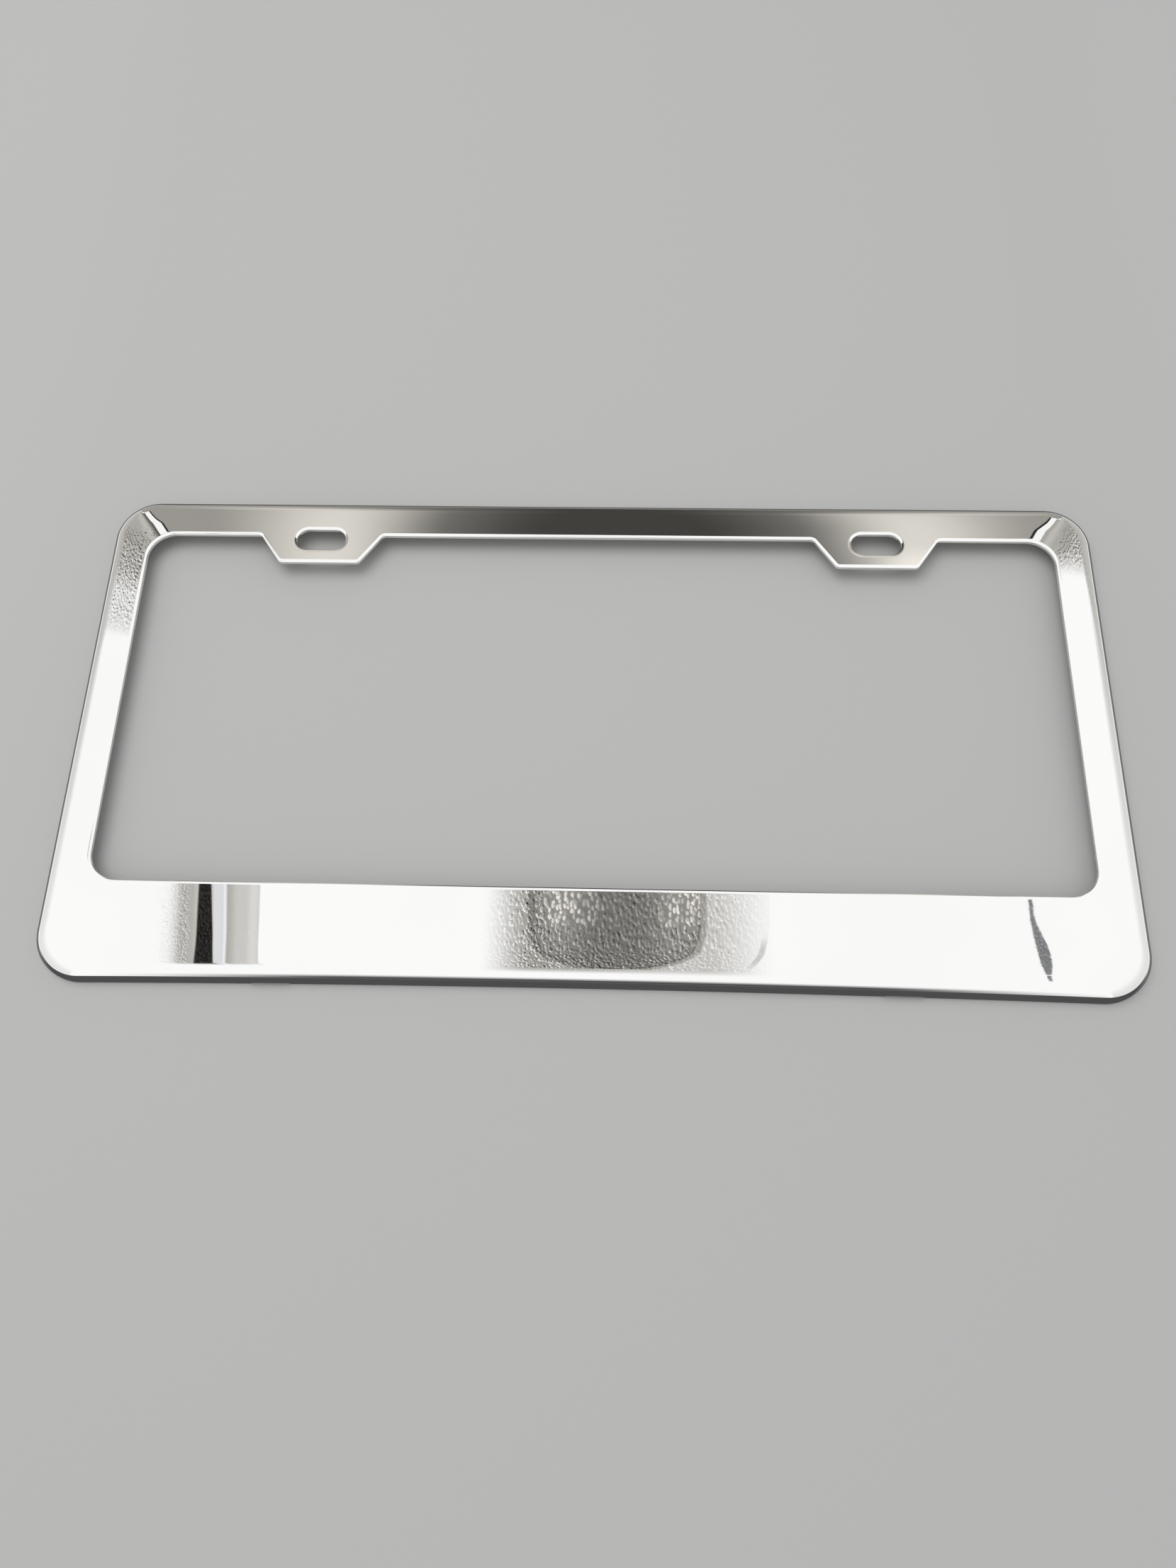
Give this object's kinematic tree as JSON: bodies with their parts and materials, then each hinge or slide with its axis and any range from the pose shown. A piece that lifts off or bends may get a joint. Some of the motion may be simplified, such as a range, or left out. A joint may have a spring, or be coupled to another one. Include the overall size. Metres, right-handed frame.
{
  "type": "number plate frame",
  "caption": "Flat rectangular number plate frame pressed from polished steel sheet, with a turned-down rim, an open window and slotted tabs for the plate screws.",
  "frame": {"origin": "centre of the outline on the plane that the edge of the rim rests on", "axes": "+X along the plate, +Y towards the upper bar with the slotted tabs, +Z out of the polished face"},
  "size_m": [0.315, 0.1592, 0.0062],
  "materials": {
    "polished_steel": "mirror-polished stainless steel sheet"
  },
  "bodies": {
    "root": {"plate_frame": "polished_steel"}
  },
  "joints": []
}
